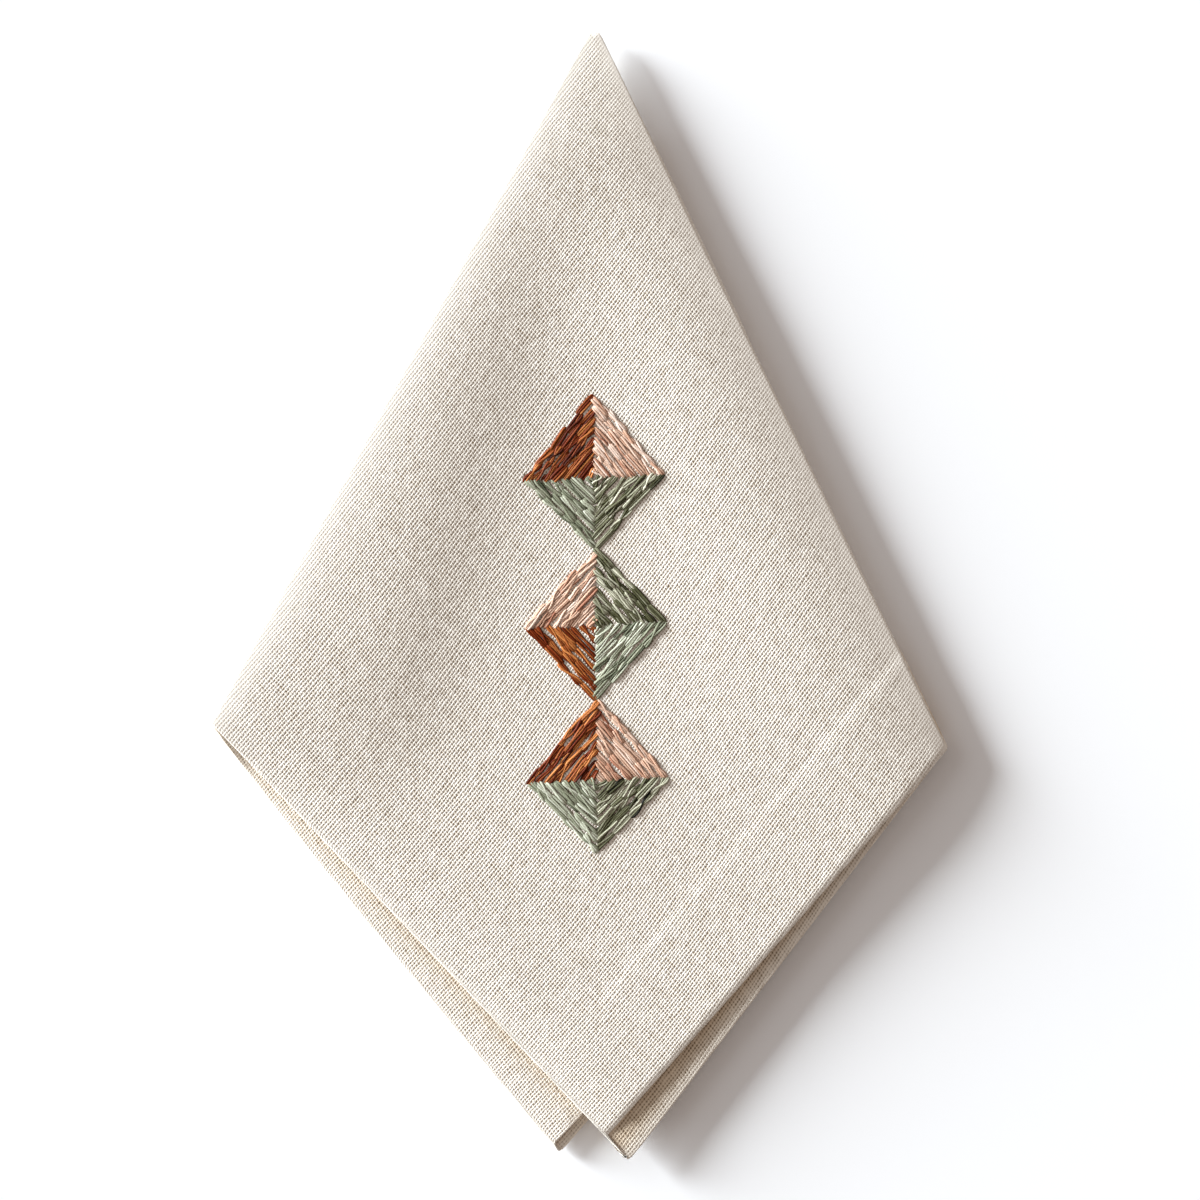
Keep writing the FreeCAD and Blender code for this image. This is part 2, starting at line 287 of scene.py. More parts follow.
# ---- Flat layout of one quarter: rays from the top corner, rows across them ----
def ray_plan():
    """Each ray lies between two stops: five rows give both stops' bearings and shifts, and
    the share between them. Also gives the number of the ray to the quarter's far corner.

    A stop is a bearing, a sideways shift, and the number of rays from it to the next one.
    Rays crowd together at the folds, at the open edges and at the far corner.
    """
    left, right = EDGES["left"].bearing, EDGES["right"].bearing
    far_corner = (0, 0, 4)
    stops = [
        (-LEAN, 0, 6), (-LEAN, 0.0024, 8), (left, -0.0095, 28), (left, 0.0048, 22),
        (0, -0.0050, 5), (0, -0.0012, 4), far_corner, (0, 0.0012, 5), (0, 0.0050, 22),
        (right, -0.0010, 18), (right, 0.0085, 8), (LEAN, -0.0016, 3), (LEAN, 0, 0),
    ]
    rays = [(*start[:2], *end[:2], ray / start[2])
            for start, end in zip(stops, stops[1:]) for ray in range(start[2])]
    rays.append((LEAN, 0, LEAN, 0, 0))
    return np.array(rays).T, sum(stop[2] for stop in stops[:stops.index(far_corner)])


RAYS, CORNER_RAY = ray_plan()


def bearings(reach):
    """Bearing of each ray (last axis) at a reach from the top corner."""
    start, start_shift, end, end_shift, share = RAYS
    spread = np.maximum(reach, SPREAD_FROM)
    return mix(start + start_shift / spread, end + end_shift / spread, share)


def quarter_grid(upper_rows, lower_rows):
    """Distances along both sides of the quarter, for a grid of rows and rays."""
    length = np.full(RAYS.shape[1], QUARTER)
    for _ in range(4):           # a few rounds settle how long each ray is
        turn = bearings(length)
        length = QUARTER * math.sin(2 * LEAN) / np.sin(LEAN + np.abs(turn))
    slant = np.sin(LEAN + np.abs(turn))
    deep = HEM * PAST_HEM
    bend_rows = np.linspace(0, BEND_DEPTH, BEND_ROWS, endpoint=False)
    share = np.linspace(0, 1, lower_rows) ** HEM_CROWDING
    hem_rows = mix(BEND_DEPTH, HEM * HEM_ROWS_END, share)
    share = np.linspace(0, 1, lower_rows // 3 + 2) ** PAST_CROWDING
    past_rows = HEM + share * (deep - HEM)
    inset = np.concatenate([bend_rows, hem_rows, past_rows])[::-1]
    share = np.linspace(0, 1, upper_rows, endpoint=False)[:, None] ** UPPER_CROWDING
    upper = mix(TOP_ROW, length - deep / slant, share)
    reach = np.concatenate([upper, length - inset[:, None] / slant])
    turn = bearings(reach)
    # From bearing and reach to distances along the two sides.
    plan = np.stack([np.sin(turn), -np.cos(turn)], axis=-1) * reach[..., None]
    sides = np.linalg.inv(np.stack([DOWN_RIGHT, UP_RIGHT], axis=1))
    along, up = np.moveaxis(plan @ sides.T, -1, 0)
    up = up + QUARTER
    # The outermost rays and the last row lie on the quarter's sides.
    along[:, 0] = 0
    up[:, -1] = QUARTER
    up[-1, :CORNER_RAY + 1] = 0
    along[-1, CORNER_RAY:] = QUARTER
    return np.clip(along, 0, QUARTER), np.clip(up, 0, QUARTER)


# ---- Folding ----
BACK = (3, 4)                    # layers past the second fold, counting from the top one
UNDER = (2, 3)                   # layers past the first fold


def fold_over(distance, radius):
    """Bend of a sheet folded double and ironed: distance inside the fold, sine of turn."""
    radius = np.maximum(radius, LEAST_RADIUS)
    quarter_turn = radius * math.pi / 2
    turn = np.clip(distance / radius, 0, math.pi / 2)
    bent = np.where(distance < quarter_turn,
                    -radius * FOLD_CREASE * np.cos(turn), distance - quarter_turn)
    return bent, np.sin(turn)


def turn_behind(plan, place, edge):
    """Wraps what lies past a long edge round to the back, at the radius of its layer."""
    taper = opening(plan, CLOSED)
    inset = TOP_PLACE * edge.pitch * edge.crease * taper + PLY / 2
    past = (plan - NOSE) @ edge.out + inset
    radius = np.maximum(np.abs(place) * edge.pitch * taper, LEAST_RADIUS)
    turn = np.clip(past / radius, 0, math.pi)
    around = np.where(turn < math.pi, edge.crease * radius * np.sin(turn),
                      math.pi * radius - past)
    bent = np.where(past <= 0, past, around)
    return plan + (bent - past)[..., None] * edge.out, place * np.cos(turn)


def round_top(plan):
    """Draws what lies past the rounded top corner in to its radius."""
    centre = NOSE + NOSE_ROUND / NOSE_SINE * DOWN
    offset = plan - centre
    reach = np.maximum(np.linalg.norm(offset, axis=-1), TINY)
    room = NOSE_SOFT * NOSE_ROUND
    past = reach - (NOSE_ROUND - room)
    drawn = np.where(past > 0, reach - past + room * np.tanh(past / room), reach)
    capped = -(offset @ DOWN) > reach * NOSE_SINE
    rounded = centre + offset * (drawn / reach)[..., None]
    return np.where(capped[..., None], rounded, plan)


def cut_back(along, up, layer):
    """Draws a layer's hem back from the next one's, and rounds off its tip."""
    if layer in CUTBACK:
        fade = smooth(up, *CUTBACK_STARTS)
        fade = fade * np.clip(1 - up / (CUTBACK_ENDS * QUARTER), CUTBACK_PAST, 1)
        along = along - CUTBACK[layer] * fade * (along / QUARTER) ** 3
    by_tip = smooth(along, QUARTER - TIP_ROUND_IN, QUARTER)
    return along - TIP_ROUND * np.exp(-up / TIP_ROUND_UP) * by_tip


def slip(along, up, back):
    """How far the front or back pair slips in plan, to end at its own tip."""
    corner = np.clip((along - PIVOT) / (QUARTER - PIVOT), 0, 1)[..., None]
    end = fold_over(QUARTER - TIP_ROUND, SECOND_BEND)[0] - TAKE_UP
    move = corner * (FRONT_END - CENTRE_CORNER - end * DOWN_RIGHT)
    if back:
        move = move + corner ** BACK_BOW * (BACK_TIP - FRONT_END)
    return move * (1 - up / QUARTER)[..., None]


def fold_layer(along, up, layer):
    """Plan and place in the stack of a layer's grid."""
    along = cut_back(along, up, layer)
    inner_up, sine = fold_over(up, FIRST_BEND)
    inner_up = inner_up + (FOLD_OUT + FIRST_BEND * math.pi / 2) * up / QUARTER
    apart = mix(FOLD_CLOSED, FOLD_APART, smooth(up, 0, FOLD_OPENS))
    place = FIRST_FOLD_PLACE + apart * sine * (-1 if layer in UNDER else 1)
    out = place - SECOND_FOLD_PLACE
    from_top = smooth(np.hypot(along, QUARTER - up), 0, TAPER)
    radius = np.abs(out) * SECOND_BEND * mix(CLOSED, 1, from_top)
    inner_along, sine = fold_over(along, radius)
    inner_along = inner_along - TAKE_UP * along / QUARTER
    place = SECOND_FOLD_PLACE + out * sine * (-1 if layer in BACK else 1)
    plan = (CENTRE_CORNER + inner_along[..., None] * DOWN_RIGHT
            + inner_up[..., None] * UP_RIGHT + slip(along, up, layer in BACK))
    for edge in EDGES.values():
        plan, place = turn_behind(plan, place, edge)
    return round_top(plan), place


def grain(flat):
    """Place in the weave of a place on the flat cloth. It was folded a little off its
    grain: the threads lean over by a few degrees, the warp less so near the first fold."""
    straight, easing, warp_lean, weft_lean = 0.010, 0.060, 0.095, 0.050
    up = np.abs(flat[:, 1])
    share = np.clip((up - straight) / easing, 0, 1)
    eased = easing * (share ** 3 - share ** 4 / 2)
    across = flat[:, 0] + warp_lean * (eased + np.maximum(up - (straight + easing), 0))
    down = flat[:, 1] - weft_lean * np.abs(flat[:, 0])
    return np.stack([across, down], axis=-1)


# ---- What the material is told of each place ----
def ironing(plan, along, up):
    """How far the iron has pressed the weave flat: most along the folds and on the rim."""
    edges = np.maximum(np.minimum(inside(plan, "left"), inside(plan, "right")), 0)
    distances = ((edges, PRESSED_EDGES), (up, PRESSED_FIRST_FOLD),
                 (hem_depth(along, up), PRESSED_RIM))
    return np.max([share * np.exp(-distance / reach)
                   for distance, (share, reach) in distances], axis=0)


def painted_shade_below_front(plan, along, layer):
    """Painted shade, darker and browner, where lower layers pass under the front's edges
    and lie in their shade.
    """
    if layer == 1:
        return np.zeros_like(along)
    if layer == 3:
        share, reach = PAINTED_SHADE_BY_FOLD
        return share * np.exp(-np.abs((plan - SHOULDERS["left"]) @ FRONT_OUT) / reach)
    depth = QUARTER - along
    share = mix(*PAINTED_SHADE_UNDER_HEM, smooth(depth, *PAINTED_SHADE_DEEPENS))
    return share * np.exp(-depth / PAINTED_SHADE_FADES)


# ---- Mesh of the sheet ----
class Sheet:
    """Middle surface of the cloth: its points, their places on the flat cloth, what the
    material is told of each, and its faces."""

    def __init__(self):
        # deep holds each point's share of painted brown shade
        self.points, self.flat, self.pressed, self.deep = [], [], [], []
        self.quads, self.fans = [], []
        self.index = {}
        self.count = 0

    def add(self, points, flat, pressed, deep):
        """Takes points in and gives the number of the first."""
        start = self.count
        self.points.append(points)
        self.flat.append(flat)
        self.pressed.append(pressed)
        self.deep.append(deep)
        self.count += len(points)
        return start


# Each of these layers shares a fold with one that is built before it.
SECOND_FOLD_FROM = {4: 1, 3: 2}
FIRST_FOLD_FROM = {2: 1, 3: 4}


def add_layer(sheet, layer, grid):
    """Folds a layer and joins it to those built before it."""
    along, up = grid
    plan, place = fold_layer(along, up, layer)
    level = height(plan, place)
    if layer == 1:
        depth = hem_depth(along, up)
        level += HEM_RISE * (1 - smooth(depth, *HEM_FACE_EDGE))
        level -= HEM_ROLL * np.clip(1 - depth / HEM_ROLL_REACH, 0, 1) ** 2
    points = np.concatenate([plan, level[..., None]], axis=-1)
    flat = np.stack([along * (-1 if layer in BACK else 1),
                     up * (-1 if layer in UNDER else 1)], axis=-1)
    number = np.full(along.shape, -1)
    if layer in SECOND_FOLD_FROM:
        number[:, 0] = sheet.index[SECOND_FOLD_FROM[layer]][:, 0]
    if layer in FIRST_FOLD_FROM:
        shared = sheet.index[FIRST_FOLD_FROM[layer]]
        number[-1, :CORNER_RAY + 1] = shared[-1, :CORNER_RAY + 1]
    new = number < 0
    start = sheet.add(points[new], flat[new], ironing(plan, along, up)[new],
                      painted_shade_below_front(plan, along, layer)[new])
    number[new] = start + np.arange(new.sum())
    sheet.index[layer] = number
    corners = [number[:-1, :-1], number[1:, :-1], number[1:, 1:], number[:-1, 1:]]
    quads = np.stack(corners, axis=-1).reshape(-1, 4)
    sheet.quads.append(quads[:, ::-1] if layer in (2, 4) else quads)


def close_top(sheet, top, bottom):
    """The top corner is a point of the hem's edge: fans close two layers' first rows."""
    first, second = sheet.index[top][0], sheet.index[bottom][0]
    plan, place = fold_layer(np.zeros(1), np.full(1, QUARTER), top)
    corner = np.array([[*plan[0], height(plan, place)[0]]])
    flat = np.array([[0.0, QUARTER if top == 1 else -QUARTER]])
    tip = sheet.add(corner, flat, np.array([PRESSED_TOP_CORNER]), np.zeros(1))
    for left, right in ((first[:-1], first[1:]), (second[1:], second[:-1])):
        fan = np.stack([np.full(len(left), tip), left, right], axis=-1)
        sheet.fans.append(fan if top == 1 else fan[:, ::-1])
    sheet.index["tip", top] = tip


def build_sheet():
    fine, coarse = quarter_grid(*FINE_ROWS), quarter_grid(*COARSE_ROWS)
    sheet = Sheet()
    for layer, grid in ((1, fine), (4, fine), (2, coarse), (3, coarse)):
        add_layer(sheet, layer, grid)
    close_top(sheet, 1, 4)
    close_top(sheet, 2, 3)
    return sheet


def open_edge(sheet):
    """The open, hemmed edge as one closed run: its points, and their neighbours inside."""
    def side(layer):
        number = sheet.index[layer]
        run = [(number[-1, ray], number[-2, ray])
               for ray in range(CORNER_RAY, number.shape[1])]
        return run + [(number[row, -1], number[row, -2])
                      for row in range(number.shape[0] - 2, -1, -1)]

    one, two, three, four = (side(layer) for layer in (1, 2, 3, 4))
    top, bottom = ([(sheet.index["tip", layer], sheet.index[layer][0, 0])]
                   for layer in (1, 2))
    return np.array(one + top + four[::-1] + three[1:] + bottom + two[::-1][:-1]).T


def vertex_normals(points, faces):
    normals = np.zeros_like(points)
    for group in faces:
        corners = points[group]
        face = np.cross(corners[:, 2] - corners[:, 0], corners[:, -1] - corners[:, 1])
        for corner in range(group.shape[1]):
            np.add.at(normals, group[:, corner], face)
    size = np.linalg.norm(normals, axis=1, keepdims=True)
    return normals / np.maximum(size, TINY)


def rounded_rim(points, normals, sides, outer, inner):
    """Two runs of points that round off the open edge between the cloth's two sides."""
    # The rim faces square to its own run and to the cloth.
    run = np.roll(points[outer], -1, axis=0) - np.roll(points[outer], 1, axis=0)
    outward = np.cross(run, normals[outer])
    outward /= np.maximum(np.linalg.norm(outward, axis=1, keepdims=True), TINY)
    outward *= np.sign(np.sum(outward * (points[outer] - points[inner])))
    face_edge, wrong_edge = (side[outer] for side in sides)
    middle = (face_edge + wrong_edge) / 2
    thick = np.linalg.norm(face_edge - wrong_edge, axis=1, keepdims=True)
    return [mix(middle, edge, RIM_FLAT) + outward * thick * RIM_OUT
            for edge in (face_edge, wrong_edge)]


def build_cloth(material):
    """The sheet given its two sides, its hem and a rounded rim."""
    sheet = build_sheet()
    points, flat = np.concatenate(sheet.points), np.concatenate(sheet.flat)
    quads, fans = np.concatenate(sheet.quads), np.concatenate(sheet.fans)
    normals = vertex_normals(points, [quads, fans])
    hemmed = 1 - smooth(hem_depth(*np.abs(flat).T), *HEM_BACK_EDGE)
    # Pressed hard together at the top corner, hems and every ply are thinner there.
    hemmed *= smooth(from_nose(points[:, :2]), *HEM_SWELLS)
    squeeze = np.clip(opening(points[:, :2], PRESSED) / FULL_PLY, 0, 1)[:, None]
    face_side = points + normals * squeeze * (PLY / 2)
    wrong_side = points - normals * squeeze * (PLY / 2 + hemmed * PLY * HEM_EXTRA)[:, None]
    outer, inner = open_edge(sheet)
    rims = rounded_rim(points, normals, (face_side, wrong_side), outer, inner)
    vertices = np.concatenate([face_side, wrong_side] + rims)
    vertices[:, 2] = np.maximum(vertices[:, 2], 0)       # it lies on the table
    # Three bands of faces join four runs of points, from the face to the wrong side.
    count, rim = len(points), np.arange(len(outer))
    runs = [outer, 2 * count + rim, 2 * count + len(rim) + rim, count + outer]
    bands = [np.stack([near, far, np.roll(far, -1), np.roll(near, -1)], axis=-1)
             for near, far in zip(runs, runs[1:])]
    faces = np.concatenate([quads, quads[:, ::-1] + count] + bands).tolist()
    faces += np.concatenate([fans, fans[:, ::-1] + count]).tolist()
    cloth = make_piece("folded_napkin", vertices, faces, material)

    def both_sides(values):
        return np.concatenate([values, values, values[outer], values[outer]])

    lay_uv(cloth, "cloth", grain(both_sides(flat)))
    paint(cloth, "pressed", both_sides(np.concatenate(sheet.pressed)))
    # deep: share of painted brown shade where lower layers pass under the front's edges
    paint(cloth, "deep", both_sides(np.concatenate(sheet.deep)))
    return cloth


def new_object(name, data):
    thing = bpy.data.objects.new(name, data)
    bpy.context.scene.collection.objects.link(thing)
    return thing


def make_piece(name, vertices, faces, material):
    mesh = bpy.data.meshes.new(name)
    mesh.from_pydata([tuple(v) for v in vertices], [], faces)
    mesh.validate()
    mesh.polygons.foreach_set("use_smooth", [True] * len(mesh.polygons))
    mesh.materials.append(material)
    return new_object(name, mesh)


def lay_uv(piece, name, places):
    """Gives every corner of a face the flat place of its point."""
    mesh = piece.data
    corners = np.empty(len(mesh.loops), dtype=int)
    mesh.loops.foreach_get("vertex_index", corners)
    mesh.uv_layers.new(name=name).data.foreach_set("uv", places[corners].ravel())


def paint(piece, name, values):
    """Gives every point a value that the material reads."""
    attribute = piece.data.attributes.new(name, "FLOAT", "POINT")
    attribute.data.foreach_set("value", values)


# ---- Embroidery ----
STRANDS = 3                      # of floss in the needle
STRAND_WIDTH = 0.00086
STRAND_HIGH = 0.75               # as high as wide, pressed
STRAND_STEP = 0.00064            # from one to the next, side by side in the stitch
STRAND_SIZES = (0.80, 1.12)
STRAND_DRIFT = 0.00014           # each strays sideways at both ends
STRAND_RISE = (-0.00006, 0.00012)
STRAND_CROSSES = (0.15, 0.85)    # they change places between these shares of the stitch
RINGS, AROUND = 14, 10           # points along and round a strand
STITCH = 0.0068                  # length of one
STITCH_COUNT = 0.3               # a row has up to this many more or fewer, rounded
STITCH_CUT = 0.28                # where two meet moves by up to this share of a stitch
STITCH_SIZES = (0.88, 1.14)
STITCH_LIFT = (-0.00008, 0.00016)
STITCH_BOW = 0.00022
STITCH_OVERLAP = (0.0004, 0.0017)
STITCH_WANDER = 0.00024          # its ends miss the line of the row
STITCH_ENDS = (0.3, 0.40)        # there it is this share as wide, and its strands as thick
STITCH_TONES = (0.2, 0.8)
STRAND_TONE = 0.35               # and each strand strays from its stitch's tone
LIES = 0.00006                   # height of a strand's middle over the cloth
DIVES = -0.00040                 # and where the needle takes it down
ROWS = 8
OUTER_ROW = 0.985                # share of the field's reach
ROWS_SPREAD = 1.02               # and from there in to just past the centre
PULL = (-0.0005, 0.0)            # the needlework lies a little to the left
DRAWN_IN = 0.985                 # and is drawn in across
SEAM_LAP = 0.0009                # stitches run this far over the seams between fields
# Worked by eye, the cross seams of the diamonds sit a little below their middles.
SEAM_DROP = {"upper": 0.0016, "middle": 0.0003, "lower": 0.0014}


def top_of_cloth(plan):
    return height(plan, np.full(plan.shape[:-1], TOP_PLACE)) + PLY / 2


def strand_faces():
    ring, spot = np.meshgrid(np.arange(RINGS - 1), np.arange(AROUND), indexing="ij")
    here, there = ring * AROUND + spot, ring * AROUND + (spot + 1) % AROUND
    quads = np.stack([here, there, there + AROUND, here + AROUND], axis=-1)
    ends = [list(range(AROUND))[::-1], list(range((RINGS - 1) * AROUND, RINGS * AROUND))]
    return quads.reshape(-1, 4).tolist() + ends


STRAND_FACES = strand_faces()


def stitch_strands(start, end, size, lift, random):
    """One stitch: strands side by side that cross one another and dive at both ends."""
    along = end - start
    length = np.linalg.norm(along)
    along = along / length
    side = np.array((along[1], -along[0]))
    share = 0.5 - 0.5 * np.cos(np.linspace(0, math.pi, RINGS))
    # Full along most of the stitch, and soon down to nothing at both ends.
    swell = np.clip(1 - np.abs(2 * share - 1) ** 5, 0, 1) ** 0.6
    crossing = smooth(share, *STRAND_CROSSES)
    wide, thick = (mix(end_share, 1, swell) for end_share in STITCH_ENDS)
    orders = [random.permutation(STRANDS) - (STRANDS - 1) / 2 for _ in range(2)]
    bow = random.normal(0, STITCH_BOW)
    angle = np.linspace(0, 2 * math.pi, AROUND, endpoint=False)
    strands = []
    for here, there in zip(*orders):
        drift = random.normal(0, STRAND_DRIFT, 2)
        across = size * STRAND_STEP * mix(here, there, crossing) * wide
        across += mix(*drift, share) + bow * swell
        rise = random.uniform(*STRAND_RISE) * swell
        radius = STRAND_WIDTH / 2 * size * thick * random.uniform(*STRAND_SIZES)
        middle = start + along * (length * share)[:, None] + across[:, None] * side
        ground = top_of_cloth(middle) + mix(DIVES, LIES + lift, swell) + rise
        plan = middle[:, None] + (np.cos(angle) * radius[:, None])[..., None] * side
        up = ground[:, None] + STRAND_HIGH * np.sin(angle) * radius[:, None]
        points = np.concatenate([plan, up[..., None]], axis=-1).reshape(-1, 3)
        uv = [np.repeat(share * length, AROUND), np.tile(np.cos(angle), RINGS)]
        strands.append((points, np.stack(uv, axis=1)))
    return strands


def build_field(node, material, random):
    """The stitches of one quarter of a diamond, in rows parallel to its outer edge."""
    centre, side_tip, peak = FIELDS[node]
    points, faces, uvs, tones = [], [], [], []
    count = 0
    for row in range(ROWS):
        reach = OUTER_ROW - row / ROWS * ROWS_SPREAD
        start, end = mix(centre, side_tip, reach), mix(centre, peak, reach)
        length = np.linalg.norm(end - start)
        outward = unit(start + end - 2 * centre)
        lap = SEAM_LAP / length
        more = random.uniform(-STITCH_COUNT, STITCH_COUNT)
        stitches = max(1, round(length / STITCH + more))
        cuts = np.linspace(0, 1, stitches + 1)
        cuts[1:-1] += random.uniform(-STITCH_CUT, STITCH_CUT, stitches - 1) / stitches
        cuts[0], cuts[-1] = -lap, 1 + lap
        for first, last in zip(cuts, cuts[1:]):
            overlap = random.uniform(*STITCH_OVERLAP) / length
            wander = random.normal(0, STITCH_WANDER, 2)
            up_at = mix(start, end, max(first - overlap, -lap)) + outward * wander[0]
            down_at = mix(start, end, min(last + overlap, 1 + lap)) + outward * wander[1]
            size, lift = random.uniform(*STITCH_SIZES), random.uniform(*STITCH_LIFT)
            strands = stitch_strands(up_at, down_at, size, lift, random)
            stitch_tone = random.uniform(*STITCH_TONES)
            for own, uv in strands:
                faces += [[v + count for v in face] for face in STRAND_FACES]
                points.append(own)
                # Every strand shows another stretch of fibres.
                uvs.append(uv + (random.uniform(0, 7), 0))
                tones += [stitch_tone + random.normal(0, STRAND_TONE)] * len(own)
                count += len(own)
    name = node.replace("floss", "stitches")
    piece = make_piece(name, np.concatenate(points), faces, material)
    lay_uv(piece, "thread", np.concatenate(uvs))
    paint(piece, "tone", tones)
    return piece


def find_fields():
    """Centre of each field's diamond, and the two points of the diamond the field reaches.

    The middle of a field lies a third of the way out along both of its half diagonals, and
    the diamonds stand tip to tip, so the distance between two of them is their height.
    """
    diamonds = {}
    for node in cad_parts:
        if node.startswith("floss_"):
            group = diamonds.setdefault(node.split("_")[1], {})
            group[node] = cad_points(node).mean(axis=0)[:2]
    middles = {place: np.mean(list(group.values()), axis=0)
               for place, group in diamonds.items()}
    heights = sorted(middle[1] for middle in middles.values())
    half_high = (heights[-1] - heights[0]) / (2 * (len(heights) - 1))
    fields = {}
    for place, group in diamonds.items():
        offsets = {node: middle - middles[place] for node, middle in group.items()}
        right, upper = (sum(offset * np.sign(offset[axis]) for offset in offsets.values())
                        for axis in (0, 1))
        size = half_high / upper[1]
        centre = middles[place] + PULL
        crossing = centre - (0, SEAM_DROP[place])
        for node, offset in offsets.items():
            side_tip = crossing + right * size * DRAWN_IN * np.sign(offset[0])
            fields[node] = crossing, side_tip, centre + upper * size * np.sign(offset[1])
    return fields


FIELDS = find_fields()


# ---- Materials ----
def linear(text):
    """sRGB hex to linear colour."""
    values = [int(text[i:i + 2], 16) / 255 for i in (1, 3, 5)]
    return [v / 12.92 if v <= 0.04045 else ((v + 0.055) / 1.055) ** 2.4
            for v in values] + [1.0]


def add(tree, kind, sockets=(), **settings):
    """Adds a shader node; sockets, by order or by name, take a value or another node."""
    node = tree.nodes.new("ShaderNode" + kind)
    for name, value in settings.items():
        setattr(node, name, value)
    named = sockets.items() if isinstance(sockets, dict) else enumerate(sockets)
    for name, value in named:
        if isinstance(value, bpy.types.Node):
            value = value.outputs[0]
        if isinstance(value, bpy.types.NodeSocket):
            tree.links.new(value, node.inputs[name])
        elif value is not None:
            node.inputs[name].default_value = value
    return node


def new_material(name):
    material = bpy.data.materials.new(name)
    material.use_nodes = True
    material.node_tree.nodes.clear()
    return material, material.node_tree


# Linen. Patterns are given in cells to the metre, and the shades of the weave from 0 to 1.
DRIFT_CELLS = (420.0, 60.0)      # threads drift: 2.4 mm across and 17 mm along
DRIFT = 0.9                      # by this share of a thread
SLUB_CELLS = 95.0                # spun thick and thin: slubs 5 to 15 mm long
SLUB_SHADES = (0.34, 0.26)       # each thread a little its own tone, warp and weft
GAP_CELLS = 240.0                # gaps open and close along their length, every 4 mm
GAP_NOISE = (0.35, 0.65)         # the noise's usual range, drawn out to
GAP_WIDTHS = (0.60, 1.20)        # these widths
SLUB_CUT, GAP_CUT = 3.7, 9.1     # the noise is cut at other places for each
GAP_SHADES = (-0.60, -0.36)      # painted shade: a dark line in each gap
HOLE_SHADE = -0.55               # and darker painted shade in the hole where two meet
THREAD_SHADE = 1.03
IRONED_SHADE = 0.93
OVER_RISE = 0.30                 # the thread on top stands out
WEAVE_RELIEF = 0.00017
# Its darkest shades are reached only in the painted shade of the gaps and holes.
FLAX_SHADES = ((0.05, "#8E7A60"), (0.55, "#DED4C6"), (0.90, "#FDF5E9"))
PAINTED_SHADE_COLOUR = "#E0CCB0"


